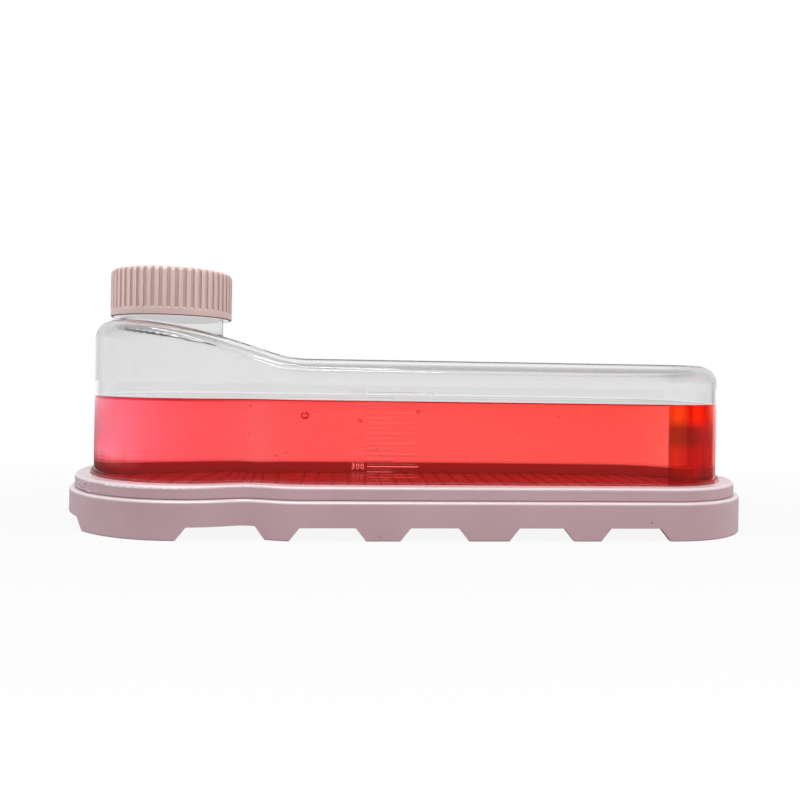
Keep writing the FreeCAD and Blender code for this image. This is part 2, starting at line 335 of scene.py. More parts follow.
# %% Cap plastic
RIB_R = (cap_r - 0.75 * MM, cap_r - 0.25 * MM)
SIDE_FOOT_Z = (cap_low.z + 3.0 * MM, cap_low.z + 3.6 * MM)
SIDE_HEAD_Z = (cap_high.z - 0.8 * MM, cap_high.z - 1.6 * MM)
LINING_R = (CAP_BORE + 0.9 * MM, CAP_BORE + 0.3 * MM)
LINING_Z = (cap_high.z - 6 * MM, cap_high.z - 8 * MM)
RIM_Z = (cap_low.z + 0.32 * MM, cap_low.z + 0.12 * MM)
GROOVE_SHADE_AND_CREST_LIGHT = [(0.0, (0.84, 0.81, 0.81)), (0.5, (0.92, 0.91, 0.91)), (0.8, grey(0.96)), (1.0, grey(1.06))]
CAP_PINK, RIM_PAINTED_SHADE = (0.71, 0.52, 0.49), (0.36, 0.06, 0.20)
LINING_TINT, LINING_PAINTED_LIGHT = grey(0.45), grey(0.62)


def cap_finish():
    """Pink plastic with painted shade in the grooves and painted highlight on the crests, a grey lining that
    glows with painted light, and a dark rim of painted shade.
    """
    material = moulded_plastic("cap_plastic", CAP_PINK, roughness=0.42)
    tree, shader, tint = present_colour(material)
    from_axis = vector_math(tree, "MULTIPLY_ADD", object_place(tree), (1.0, 1.0, 0.0), (-neck_x, 0.0, 0.0))
    axis_distance = vector_math(tree, "LENGTH", from_axis)
    # Painted shade in the grooves and painted highlight on the crests, on the cap's side only.
    groove_and_crest_light = colour_ramp(tree, ranged(tree, axis_distance, *RIB_R), GROOVE_SHADE_AND_CREST_LIGHT)
    on_side = overlap(tree, along(tree, "Z", *SIDE_FOOT_Z), along(tree, "Z", *SIDE_HEAD_Z))
    tint = blend(tree, on_side, tint, vector_math(tree, "MULTIPLY", tint, groove_and_crest_light))
    lining = overlap(tree, ranged(tree, axis_distance, *LINING_R), along(tree, "Z", *LINING_Z))
    tint = blend(tree, lining, tint, LINING_TINT)
    # Painted shade and painted red reflection: a dark plum line along the cap's lower rim.
    tree.links.new(blend(tree, along(tree, "Z", *RIM_Z), tint, RIM_PAINTED_SHADE), shader.inputs["Base Color"])
    # Painted light: the lining glows so that it looks pale under the cap.
    set_glow(tree, shader, blend(tree, lining, BLACK, LINING_PAINTED_LIGHT))
    return material


cap_plastic = cap_finish()
paint("screw_cap", cap_plastic)

# %% [markdown]
# ## Clear plastic
# Crystal polystyrene bends light more than glass does and lets nearly all of it through. Two things make it
# visible. A dry wall throws back a little light at each of its faces, so it looks light grey, while a wetted
# wall has only its outer face to lose light at; that grey of the dry wall is painted into the tint as shade.
# And the plastic itself takes up a trace of light, which shows where the eye looks along the wall. So the
# tint changes at the level of the medium, and a thin absorption fills the wall.

# %% Clear plastic
# Painted shade: the grey tint above the level stands in for light thrown back at the dry wall's faces.
DRY_WALL_SHADE = grey(0.94)
CLEAR_IOR = 1.57
LEVEL_BAND = 3 * MM


def above_level(tree):
    """Factor that runs up from the level of the medium."""
    return along(tree, "Z", fill_high.z, fill_high.z + LEVEL_BAND)


def clear_plastic(name, wet_tint):
    """Clear plastic whose tint changes at the level of the medium."""
    material, tree, shader = start_material(name, Roughness=0.0, IOR=CLEAR_IOR, Transmission_Weight=1.0)
    tree.links.new(colour_ramp(tree, above_level(tree), [(0.1, wet_tint), (0.25, DRY_WALL_SHADE)]),
                   shader.inputs["Base Color"])
    trace = add_node(tree, "VolumeAbsorption", Density=10.0)
    trace.inputs["Color"].default_value = (*BLACK, 1.0)
    tree.links.new(trace.outputs["Volume"], tree.nodes["Material Output"].inputs["Volume"])
    return material


# %% [markdown]
# Two places on the vessel differ from plain clear wall. Just above the level, a faint painted highlight glows
# in a thin line. Low down, the wall flares out to its flange and sits close on the silicone: there it hardly
# bends light, less light gets through, and a painted dark red stands for the red medium seen through it. Both
# could be pieces of their own, but they follow the wall so closely that a change of its finish by place is
# simpler and can't come loose.

# %% Painted glow line and red foot
FOOT_PAINTED_RED, LEVEL_GLOW = (0.42, 0.03, 0.06), (0.03, 0.045, 0.045)
FOOT_IOR, FOOT_TRANSMISSION = 1.05, 0.25
LEVEL_GLOW_END_X = (fill_high.x - 9 * MM, fill_high.x - 6 * MM)
FLARE_TILT = (0.08, 0.25)
FLARE_Z = (ledge_z + 4.5 * MM, ledge_z + 3.5 * MM)
FOOT_RED_Z = (ledge_z + 0.5 * MM, ledge_z + 1.0 * MM)


# Painted highlight: a faint line of glow just above the level of the medium.
def painted_level_glow(tree):
    """Faint painted line of light over the level, which ends before the right corner."""
    glow_line = colour_ramp(tree, above_level(tree), [(0.02, BLACK), (0.06, LEVEL_GLOW), (0.18, LEVEL_GLOW), (0.3, BLACK)])
    return blend(tree, along(tree, "X", *LEVEL_GLOW_END_X), glow_line, BLACK)


# Painted reflection: a dark red stands in for the red medium seen through the flare.
def paint_foot_red(tree, shader, tint):
    """Painted dark red, less transmission and low refraction where the wall flares out to the flange."""
    foot = overlap(tree, ranged(tree, upward_part(tree), *FLARE_TILT), along(tree, "Z", *FLARE_Z))
    red_share = overlap(tree, foot, along(tree, "Z", *FOOT_RED_Z))
    tree.links.new(blend(tree, red_share, tint, FOOT_PAINTED_RED), shader.inputs["Base Color"])
    for socket, share, clean_value, foot_value in (
            ("Transmission Weight", red_share, 1.0, FOOT_TRANSMISSION), ("IOR", foot, CLEAR_IOR, FOOT_IOR)):
        tree.links.new(ranged(tree, share, 0.0, 1.0, clean_value, foot_value), shader.inputs[socket])


vessel_plastic = clear_plastic("clear_polystyrene", WHITE)
vessel_tree, vessel_shader, vessel_tint = present_colour(vessel_plastic)
set_glow(vessel_tree, vessel_shader, painted_level_glow(vessel_tree))
paint_foot_red(vessel_tree, vessel_shader, vessel_tint)
paint("flask_body", vessel_plastic)

# %% [markdown]
# ## Culture medium
# The medium wets the wall, so it has no skin of air around it. Its mesh therefore reaches a little way into
# the wall, and a ray crosses from plastic to liquid as it would in the real thing. Its top is not flat
# either: it climbs the wall in a small meniscus, which helps draw the dark line at the level, and a painted
# dark line in the skin's tint deepens it.

# %% Outline of the medium
def top_edges(shape, height):
    """Edges of the flat top of a solid: level, and with a flat face on one side only."""
    edges = []
    for edge in shape.edges:
        level = all(abs(vert.co.z - height) < 1e-5 for vert in edge.verts)
        flats = sum(abs(face.normal.z) > 0.9 for face in edge.link_faces)
        if level and flats == 1 and len(edge.link_faces) == 2:
            edges.append(edge)
    return edges


def top_loop(obj, height):
    """Ordered outline of the flat top of a solid, anticlockwise from above."""
    shape = bmesh.new()
    shape.from_mesh(obj.data)
    bmesh.ops.remove_doubles(shape, verts=shape.verts, dist=1e-6)
    neighbours = {}
    for edge in top_edges(shape, height):
        a, b = edge.verts
        neighbours.setdefault(a, []).append(b)
        neighbours.setdefault(b, []).append(a)
    first = next(iter(neighbours))
    loop, previous, current = [first], None, first
    while True:
        step = [vert for vert in neighbours[current] if vert is not previous][0]
        if step is first:
            break
        loop.append(step)
        previous, current = current, step
    points = [Vector((vert.co.x, vert.co.y)) for vert in loop]
    shape.free()
    area = sum(a.x * b.y - b.x * a.y for a, b in zip(points, points[1:] + points[:1]))
    return points if area > 0 else points[::-1]


outline = top_loop(nodes["culture_medium"], fill_high.z)
print("outline of the medium: %d points" % len(outline))

# %% [markdown]
# Rings of points, each a little further from the wall, make the surface. Their height falls off as surface
# tension lets it: by the same share for each step away from the wall. A liquid simulation would find the
# same curve with much more work.

# %% Body of the medium
INTO_WALL = 0.35 * MM
INTO_SHEET = 0.1 * MM
CLIMB = 0.15 * MM
FALL_OFF = 1.8 * MM
FROM_WALL = (-0.35, 0.0, 0.25, 0.5, 0.9, 1.4, 2.0, 3.0, 4.5, 7.0, 10.0)
level_z = fill_high.z - 0.3 * MM


def moved_in(points, distance):
    """The outline, moved inwards by a distance."""
    moved = []
    count = len(points)
    for index, point in enumerate(points):
        ahead = (points[(index + 1) % count] - point).normalized()
        behind = (point - points[index - 1]).normalized()
        normal = Vector((-(ahead.y + behind.y), ahead.x + behind.x)).normalized()
        moved.append(point + normal * distance)
    return moved


def medium_mesh(name, material):
    """Closed body of the medium with its meniscus."""
    rings = [[(p.x, p.y, fill_low.z - INTO_SHEET) for p in moved_in(outline, -INTO_WALL)]]
    for away in FROM_WALL:
        rise = CLIMB * math.exp(-max(away, 0.0) * MM / FALL_OFF)
        rings.append([(p.x, p.y, level_z + rise) for p in moved_in(outline, away * MM)])
    count = len(outline)
    verts = [point for ring in rings for point in ring]
    faces = [tuple(range(count))[::-1]]
    for ring in range(len(rings) - 1):
        low, high = ring * count, (ring + 1) * count
        for index in range(count):
            after = (index + 1) % count
            faces.append((low + index, low + after, high + after, high + index))
    faces.append(tuple((len(rings) - 1) * count + index for index in range(count)))
    return mesh_piece(name, verts, faces, material)


# %% [markdown]
# A deep red liquid in a clear wall is mostly a volume: the dye takes up blue and green, and the red light
# that it scatters is painted as a glow that the volume gives off. What its sides show on top of that, the
# many bent images of floor, walls and sheet near the ends, is too fine for a model to hit. So masks say where
# those lie, and ramps over the height paint them as bands of tint and glow: a painted brown and orange corner
# on the right, painted pink haze and soft streaks of light at the left end, painted shade low at the left
# end, and a painted dark line at the level.

# %% Masks of the medium
CORNER_START = fill_high.x + WALL - 32.4 * MM
CORNER_X = (CORNER_START, CORNER_START + 0.6 * MM)
CORNER_Y = (-14 * MM, -22 * MM)
UPRIGHT_TILT = (0.6, 0.3)
STREAK_STRETCH = (1.0, 1.0, 0.12)


def upright_faces(tree):
    """1 on upright faces, 0 on level ones."""
    return ranged(tree, absolute(tree, upward_part(tree)), *UPRIGHT_TILT)


def right_corner(tree, upright):
    """Mask of the front right corner, on upright faces only."""
    corner = overlap(tree, along(tree, "X", *CORNER_X), along(tree, "Y", *CORNER_Y))
    return overlap(tree, corner, upright)


def soft_streaks(tree):
    """Upright streaks, from a noise that is stretched along the height."""
    streak = add_node(tree, "TexNoise", Scale=260.0, Detail=2.0)
    stretched = vector_math(tree, "MULTIPLY", object_place(tree), STREAK_STRETCH)
    tree.links.new(stretched, streak.inputs["Vector"])
    return ranged(tree, streak.outputs["Fac"], 0.35, 0.65, 0.3, 1.0)


print("right corner from x = %.4f" % CORNER_START)


# %% Colour of the medium's skin
SIDE_TINTS = [(0.0, (1.0, 0.85, 1.0)), (0.22, (1.0, 1.0, 0.85)), (0.5, (1.0, 1.0, 0.75)),
              (0.92, (1.0, 1.0, 0.65))]
CORNER_TINTS = [(0.0, (0.28, 0.02, 0.008)), (0.30, (0.42, 0.015, 0.002)), (0.50, (0.32, 0.02, 0.001)),
                (0.60, (0.15, 0.02, 0.001)), (0.75, (0.16, 0.025, 0.001)), (0.86, (0.55, 0.10, 0.002)),
                (1.0, (0.55, 0.09, 0.002))]
CORNER_LIT_END, LOW_LEFT_SHADE, LEVEL_LINE_SHADE = (0.62, 0.36, 0.20), (0.35, 0.10, 0.05), (0.45, 0.01, 0.01)
END_X = (fill_high.x - 18 * MM, fill_high.x - 7 * MM)
LOW_LEFT_X = (fill_low.x + 20 * MM, fill_low.x + 4 * MM)
LOW_LEFT_Z = (ledge_z + 7.5 * MM, ledge_z + 4.5 * MM)
LINE_Z = (fill_high.z - 0.9 * MM, fill_high.z - 0.6 * MM)
THICK_LINE_Z = (fill_high.z - 1.7 * MM, fill_high.z - 1.0 * MM)
THICK_LINE_X = (-30 * MM, -90 * MM)


def medium_tint(tree, corner):
    """Tint along the side, with painted bands of bent images in the right corner and painted shade at the
    level and low at the left end.
    """
    side = colour_ramp(tree, along(tree, "X", fill_low.x, fill_high.x), SIDE_TINTS)
    # Painted reflection: bands of brown, orange and dark in the right corner, lighter towards its end.
    banded = colour_ramp(tree, along(tree, "Z", fill_low.z, fill_high.z), CORNER_TINTS)
    banded = blend(tree, along(tree, "X", *END_X), banded, CORNER_LIT_END)
    body = blend(tree, corner, side, banded)
    # Painted shade: the low left end of the medium darkens.
    low_left = overlap(tree, along(tree, "X", *LOW_LEFT_X), along(tree, "Z", *LOW_LEFT_Z))
    body = blend(tree, low_left, body, LOW_LEFT_SHADE)
    # Painted shade: a dark line just below the level, thicker towards the left.
    thick_line = overlap(tree, along(tree, "Z", *THICK_LINE_Z), along(tree, "X", *THICK_LINE_X))
    line = combine(tree, "MAXIMUM", along(tree, "Z", *LINE_Z), thick_line)
    return blend(tree, line, body, LEVEL_LINE_SHADE)


# %% Glow of the medium's skin
CORNER_GLOWS = [(0.0, (0.05, 0.002, 0.001)), (0.30, (0.20, 0.003, 0.001)), (0.50, (0.12, 0.003, 0.001)),
                (0.62, (0.02, 0.003, 0.001)), (0.75, (0.03, 0.004, 0.001)), (0.85, (0.35, 0.022, 0.001)),
                (1.0, (0.38, 0.018, 0.001))]
LOW_RED, LOW_PINK, HAZE = (0.22, 0.045, 0.045), (0.22, 0.12, 0.17), (0.03, 0.045, 0.075)
STRIP_GLOW = (0.80, 0.20, 0.22)
STRIP_X, STRIP_Y = (fill_high.x - 7.4 * MM, fill_high.x - 6.0 * MM), (-29 * MM, -32 * MM)
HAZE_Z = (ledge_z + 8.2 * MM, ledge_z + 10.5 * MM)
LOW_GLOW_Z = (ledge_z + 2 * MM, ledge_z + 16 * MM)
LEFT_END_X = (fill_low.x + 30 * MM, fill_low.x + 14 * MM)
LEFT_RIM_X = (fill_low.x + 1.5 * MM, fill_low.x + 4 * MM)


def corner_glow(tree, corner, streaks):
    """Bands of light in the right corner, and the bright strip at the very end."""
    bands = colour_ramp(tree, along(tree, "Z", fill_low.z, fill_high.z), CORNER_GLOWS)
    shine = blend(tree, overlap(tree, corner, streaks), BLACK, bands)
    last_strip = overlap(tree, along(tree, "X", *STRIP_X), along(tree, "Y", *STRIP_Y))
    return blend(tree, last_strip, shine, STRIP_GLOW)


def left_glow(tree, upright, streaks):
    """Pale haze at the left end, and the red and pink light low in it."""
    near_end = colour_ramp(tree, along(tree, "X", fill_low.x, fill_high.x),
                           [(0.0, WHITE), (0.05, WHITE), (0.09, grey(0.5)), (0.19, BLACK)])
    hazy = overlap(tree, near_end, along(tree, "Z", *HAZE_Z))
    low_glow = colour_ramp(tree, along(tree, "Z", *LOW_GLOW_Z),
                           [(0.12, BLACK), (0.3, LOW_RED), (0.44, LOW_RED), (0.48, LOW_PINK),
                            (0.62, LOW_PINK), (0.9, HAZE)])
    left_end = overlap(tree, along(tree, "X", *LEFT_END_X), along(tree, "X", *LEFT_RIM_X))
    left_end = overlap(tree, overlap(tree, left_end, upright), streaks)
    return blend(tree, left_end, blend(tree, hazy, BLACK, HAZE), low_glow)


# %% Medium
WATER_IOR = 1.333
DYE, DYE_DENSITY = (1.0, 0.0, 0.1, 1.0), 23.4
DEEP_RED, DEEP_STRENGTH = (1.0, 0.0, 0.0, 1.0), 2.2


def medium_finish():
    """Red liquid: a dyed volume with a painted red glow, inside a tinted skin with painted light and shade.
    """
    material, tree, shader = start_material("red_medium", Roughness=0.0, IOR=WATER_IOR,
                                            Transmission_Weight=1.0)
    upright, streaks = upright_faces(tree), soft_streaks(tree)
    corner = right_corner(tree, upright)
    tree.links.new(medium_tint(tree, corner), shader.inputs["Base Color"])
    # Painted light: the skin glows with the corner bands, the end strip and the haze at the left end.
    set_glow(tree, shader, vector_math(tree, "ADD", corner_glow(tree, corner, streaks),
                                       left_glow(tree, upright, streaks)))
    dye = add_node(tree, "VolumeAbsorption", Density=DYE_DENSITY)
    dye.inputs["Color"].default_value = DYE
    # Painted light: the volume glows red in place of the light that the medium scatters.
    glow = add_node(tree, "Emission", Strength=DEEP_STRENGTH)
    glow.inputs["Color"].default_value = DEEP_RED
    tree.links.new(add_shaders(tree, dye.outputs["Volume"], glow.outputs["Emission"]),
                   tree.nodes["Material Output"].inputs["Volume"])
    return material


medium = medium_mesh("medium_fill", medium_finish())
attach(medium, "vessel")
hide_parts("culture_medium")

# %% [markdown]
# ## Membrane, grid, seal and filter
# The sheet under the cells is thin milky silicone, which lets oxygen through, and some light. Fine lines
# cross it. They are too shallow to model, so a band texture draws them: its wave repeats every 2 pi / 20
# metres at scale 1, which fixes the scale for their spacing. The grid below it and the vent's filter are
# plain mouldings, and the seal is soft rubber.

# %% Small inner parts
SHEET_TINTS = [(0.3, (0.76, 0.30, 0.34)), (0.7, (0.88, 0.38, 0.42))]
LINE_SPACING, LINE_EDGE, LINE_TINT = 7 * MM, (0.72, 0.95), (0.56, 0.19, 0.22)


def sheet_finish():
    """Milky silicone with fine darker lines across it."""
    material, tree, shader = start_material("silicone_sheet", Roughness=0.35, IOR=1.06,
                                            Transmission_Weight=0.15)
    cloud = add_node(tree, "TexNoise", Scale=60.0, Detail=3.0)
    lines = add_node(tree, "TexWave", {"wave_type": "BANDS", "bands_direction": "X"},
                     Scale=2 * math.pi / 20.0 / LINE_SPACING, Distortion=0.4)
    tree.links.new(object_place(tree), lines.inputs["Vector"])
    tint = colour_ramp(tree, cloud.outputs["Fac"], SHEET_TINTS)
    tint = blend(tree, ranged(tree, lines.outputs["Fac"], *LINE_EDGE), tint, LINE_TINT)
    tree.links.new(tint, shader.inputs["Base Color"])
    return material


paint("gas_membrane", sheet_finish())
paint("support_grid", moulded_plastic("grid_plastic", (0.40, 0.33, 0.34), roughness=0.5))
paint("cap_seal", moulded_plastic("seal_rubber", (0.70, 0.68, 0.66), roughness=0.7))
paint("vent_filter", moulded_plastic("filter_fleece", (0.82, 0.81, 0.79), roughness=0.9,
                                     grain=0.1 * MM, grain_size=0.3 * MM))

# %% [markdown]
# ## Screw threads
# The cap turns on a coarse thread: one low ridge winds round the neck, and a matching ridge lines the cap.
# A ridge like this is a small trapezoid carried along a helix. A screw modifier could do it, but carrying
# it in code keeps the pitch exact, so the ridges never touch while the cap turns, and lets both ends fade
# out as moulded ones do.

# %% Thread ridges
PITCH = 5.0 * MM
STEPS_A_TURN = 72
FADE_STEPS = 14
END_SHARE = 0.12


def thread_ridge(name, root, tip, root_width, crest_width, start_z, turns, material):
    """Ridge along a right-hand helix round the neck; root and tip are its radii."""
    verts, faces = [], []
    steps = round(turns * STEPS_A_TURN)
    for step in range(steps + 1):
        angle = 2 * math.pi * step / STEPS_A_TURN
        height = start_z + PITCH * step / STEPS_A_TURN
        share = max(END_SHARE, min(1.0, step / FADE_STEPS, (steps - step) / FADE_STEPS))
        crest = root + (tip - root) * share
        for radius, width in ((root, -root_width), (crest, -crest_width), (crest, crest_width),
                              (root, root_width)):
            verts.append((neck_x + radius * math.cos(angle), radius * math.sin(angle), height + width / 2))
    for step in range(steps):
        low, high = 4 * step, 4 * step + 4
        for side in range(4):
            after = (side + 1) % 4
            faces.append((low + side, high + side, high + after, low + after))
    faces += [(0, 1, 2, 3), tuple(4 * steps + side for side in (3, 2, 1, 0))]
    return mesh_piece(name, verts, faces, material, smooth_under=25.0)


neck_thread = thread_ridge("neck_thread", NECK_R - 0.1 * MM, NECK_R + 1.3 * MM, root_width=2.6 * MM,
                           crest_width=1.0 * MM, start_z=93.0 * MM, turns=1.75,
                           material=clear_plastic("clear_thread", DRY_WALL_SHADE))
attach(neck_thread, "vessel")
cap_thread = thread_ridge("cap_thread", CAP_BORE + 0.3 * MM, CAP_BORE - 1.3 * MM, root_width=2.2 * MM,
                          crest_width=0.8 * MM, start_z=91.38 * MM, turns=1.25, material=cap_plastic)
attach(cap_thread, "cap")

# %% [markdown]
# ## Volume marks
# The graduations are raised a few hundredths of a millimetre on the front wall. They look a little grey on
# the clear part and vanish in the bright part; in the dark band low down they glow with painted light, as if
# they caught some. A texture could draw them, but real relief bends what lies behind them as the moulded
# lines do. Each line is a low rounded bead with tapered ends.

# %% Finish of the marks
FROSTED_TINTS, DRY_MARK = [(0.3, (0.97, 0.60, 0.60)), (0.7, (1.0, 0.68, 0.68))], grey(0.78)
DRY_Z = (fill_high.z, fill_high.z + 1 * MM)
DARK_BAND_Z = (ledge_z, ledge_z + 10 * MM)
FAINT, CAUGHT = (0.25, 0.05, 0.05), (0.48, 0.11, 0.11)
MARK_PAINTED_GLOW = [(0.22, (0.02, 0.0, 0.0)), (0.35, (0.12, 0.02, 0.02)), (0.55, FAINT), (0.62, CAUGHT),
                (0.86, CAUGHT), (0.92, BLACK)]


def mark_finish():
    """Slightly matt clear relief, grey above the level, with a painted glow in the dark band."""
    material, tree, shader = start_material("frosted_mark", Roughness=0.15, IOR=1.15,
                                            Transmission_Weight=0.97)
    cloud = add_node(tree, "TexNoise", Scale=900.0, Detail=2.0)
    tint = colour_ramp(tree, cloud.outputs["Fac"], FROSTED_TINTS)
    tree.links.new(blend(tree, along(tree, "Z", *DRY_Z), tint, DRY_MARK), shader.inputs["Base Color"])
    # Painted light: the marks glow by height, most in the dark band.
    set_glow(tree, shader, colour_ramp(tree, along(tree, "Z", *DARK_BAND_Z), MARK_PAINTED_GLOW))
    return material


frosted = mark_finish()
print("finish of the marks:", frosted.name)

# %% Graduation lines
MARK_ZERO = 15.4 * MM
MARK_STEP = 2.055 * MM
MARK_STEPS = range(3, 21)
MARK_LEFT = -17.8 * MM
LONG_END, SHORT_END = 2.1 * MM, -7.8 * MM
BEAD_WIDTH, BEAD_PROUD, BEAD_SUNK, BEAD_TAPER = 0.26 * MM, 0.045 * MM, 0.01 * MM, 0.2 * MM
BEAD_SIDES = 7
TAPERED = 0.15


def bead(verts, faces, left, right, height):
    """Low rounded bead on the front wall, with tapered ends."""
    arc = [math.pi * step / (BEAD_SIDES - 1) for step in range(BEAD_SIDES)]
    rows = ((left, TAPERED), (left + BEAD_TAPER, 1.0), (right - BEAD_TAPER, 1.0), (right, TAPERED))
    start = len(verts)
    for x, size in rows:
        for angle in arc:
            verts.append((x, front_y + BEAD_SUNK - (BEAD_PROUD + BEAD_SUNK) * size * math.sin(angle) ** 2,
                          height + BEAD_WIDTH / 2 * size * math.cos(angle)))
    for row in range(len(rows) - 1):
        low, high = start + BEAD_SIDES * row, start + BEAD_SIDES * (row + 1)
        for side in range(BEAD_SIDES):
            after = (side + 1) % BEAD_SIDES
            faces.append((low + side, low + after, high + after, high + side))
    last = start + BEAD_SIDES * (len(rows) - 1)
    faces += [tuple(start + side for side in reversed(range(BEAD_SIDES))),
              tuple(last + side for side in range(BEAD_SIDES))]


mark_verts, mark_faces = [], []
for step in MARK_STEPS:
    end = LONG_END if step % 2 == 0 else SHORT_END
    bead(mark_verts, mark_faces, MARK_LEFT, end, MARK_ZERO + MARK_STEP * step)
volume_marks = mesh_piece("volume_marks", mark_verts, mark_faces, frosted)
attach(volume_marks, "vessel")
print("volume marks: %d lines" % len(MARK_STEPS))

# %% [markdown]
# Every second line has its number, in plain type. Blender's own text object gives the letters' shapes. It
# is filled, thinned a little, given some depth and turned into a mesh, so that the numbers stand on the
# wall as the lines do. A label is brought to a height of 1 first, and then scaled to its size.

# %% Graduation numbers
NUMBER_HEIGHT = 2.1 * MM
UNIT_HEIGHT = 0.8 * NUMBER_HEIGHT
NUMBER_RIGHT = -19.0 * MM
UNIT_RIGHT = 8.2 * MM
ML_A_STEP = 50


def label_shape(label):
    """Points and faces of a plain label as filled, extruded type, with its height brought to 1."""
    text = bpy.data.curves.new("label", "FONT")
    text.body = label
    text.extrude = 0.03
    text.offset = -0.012
    text.space_character = 1.12
    text.resolution_u = 2
    holder = bpy.data.objects.new("label", text)
    bpy.context.scene.collection.objects.link(holder)
    graph = bpy.context.evaluated_depsgraph_get()
    mesh = bpy.data.meshes.new_from_object(holder.evaluated_get(graph))
    bpy.data.objects.remove(holder)
    shape = bmesh.new()
    shape.from_mesh(mesh)
    bmesh.ops.remove_doubles(shape, verts=shape.verts, dist=1e-5)
    points = [vert.co.copy() for vert in shape.verts]
    polygons = [tuple(vert.index for vert in face.verts) for face in shape.faces]
    shape.free()
    low = Vector(map(min, zip(*points)))
    high = Vector(map(max, zip(*points)))
    size = high.y - low.y
    return [((p.x - high.x) / size, (p.y - low.y) / size - 0.5, p.z / size) for p in points], polygons


def stamp(verts, faces, label, right, height, size):
    """Adds a label to the wall, right-aligned at a place."""
    start = len(verts)
    points, polygons = label_shape(label)
    verts += [(right + x * size, front_y - z * size, height + y * size) for x, y, z in points]
    faces += [tuple(start + index for index in polygon) for polygon in polygons]


number_verts, number_faces = [], []
for step in MARK_STEPS:
    if step % 2 == 0:
        stamp(number_verts, number_faces, str(step * ML_A_STEP), NUMBER_RIGHT, MARK_ZERO + MARK_STEP * step,
              NUMBER_HEIGHT)
stamp(number_verts, number_faces, "mL", UNIT_RIGHT, MARK_ZERO + MARK_STEP * MARK_STEPS[-1], UNIT_HEIGHT)
volume_numbers = mesh_piece("volume_numbers", number_verts, number_faces, frosted)
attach(volume_numbers, "vessel")

# %% [markdown]
# ## Bubbles
# Filling leaves a few air bubbles on the wall. Each is a small ball, pressed a little flat against it. Air
# inside a liquid bends light the other way, so the IOR is one over that of water. That gives each its dark
# ring, which a ramp over the viewing angle deepens with a painted dark red, and a faint painted red glow lies
# over each bubble.

# %% Lumps
def lump(verts, faces, centre, radii, wobble=0.0):
    """Small ball with a radius for each axis; wobble makes it irregular."""
    shape = bmesh.new()
    bmesh.ops.create_icosphere(shape, subdivisions=3 if wobble == 0.0 else 2, radius=1.0)
    start = len(verts)
    shape.verts.ensure_lookup_table()
    for vert in shape.verts:
        size = 1.0 + wobble * (random.random() - 0.5)
        verts.append(tuple(middle + radius * part * size
                           for middle, radius, part in zip(centre, radii, vert.co)))
    faces += [tuple(start + vert.index for vert in face.verts) for face in shape.faces]
    shape.free()


# %% Finish of the bubbles
AIR_RING_SHADE = [(0.22, (1.0, 0.9, 0.9)), (0.36, (0.8, 0.06, 0.05))]
AIR_GLOW, AIR_GLOW_STRENGTH = (1.0, 0.0, 0.01, 1.0), 0.14


def air_finish():
    """Air in the medium: clear in the middle, painted dark red round its edge, with a faint painted red glow.
    """
    material = bpy.data.materials.new("air_in_medium")
    material.use_nodes = True
    tree = material.node_tree
    tree.nodes.remove(tree.nodes["Principled BSDF"])
    skin = add_node(tree, "BsdfGlass", Roughness=0.0, IOR=1 / WATER_IOR)
    facing = add_node(tree, "LayerWeight", Blend=0.5).outputs["Facing"]
    # Painted shade and glow: dark red where the bubble is seen edge-on, and a faint red glow.
    tree.links.new(colour_ramp(tree, facing, AIR_RING_SHADE), skin.inputs["Color"])
    glow = add_node(tree, "Emission", Strength=AIR_GLOW_STRENGTH)
    glow.inputs["Color"].default_value = AIR_GLOW
    tree.links.new(add_shaders(tree, skin.outputs["BSDF"], glow.outputs["Emission"]),
                   tree.nodes["Material Output"].inputs["Surface"])
    return material


air = air_finish()
print("finish of the bubbles:", air.name)

# %% Bubbles on the wall
random.seed(11)
inner_y = front_y + WALL
BUBBLES = ((-42.1, 47.1, 1.55), (-20.7, 45.3, 0.85), (2.0, 49.2, 0.85), (-63.0, 50.6, 0.45),
           (58.0, 47.8, 0.4))
bubble_verts, bubble_faces = [], []
for x, z, radius in BUBBLES:
    lump(bubble_verts, bubble_faces, (x * MM, inner_y + radius * 0.72 * MM, z * MM),
         (radius * MM, radius * 0.7 * MM, radius * 0.95 * MM))
wall_bubbles = mesh_piece("wall_bubbles", bubble_verts, bubble_faces, air)
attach(wall_bubbles, "vessel")

# %% [markdown]
# ## Debris
# Cell debris floats as tiny dark flecks near the front wall, and pale clumps of cells lie on the sheet.
# The flecks are placed one by one, as only a few show. The clumps are many, so chance spreads them, with a
# fixed seed, over the part of the sheet that lies inside the wall.

# %% Flecks
FLECKS = ((-63.5, 39.8), (-49.4, 32.5), (-53.3, 31.3), (24.3, 45.1), (36.4, 42.9), (42.6, 40.9), (21.7, 31.5),
          (-14.2, 34.4), (-110.1, 34.9))
LOBE_SIDE, NEAR_WALL, DEEPER = -80, 1.0 * MM, 10.0 * MM
fleck_verts, fleck_faces = [], []
for x, z in FLECKS:
    size = random.uniform(0.16, 0.3) * MM
    depth = inner_y + (NEAR_WALL if x > LOBE_SIDE else DEEPER)
    lump(fleck_verts, fleck_faces, (x * MM, depth, z * MM), (size, size, size * 0.8), wobble=0.5)
debris = moulded_plastic("cell_debris", (0.16, 0.01, 0.012), roughness=0.7)
floating_flecks = mesh_piece("floating_flecks", fleck_verts, fleck_faces, debris)

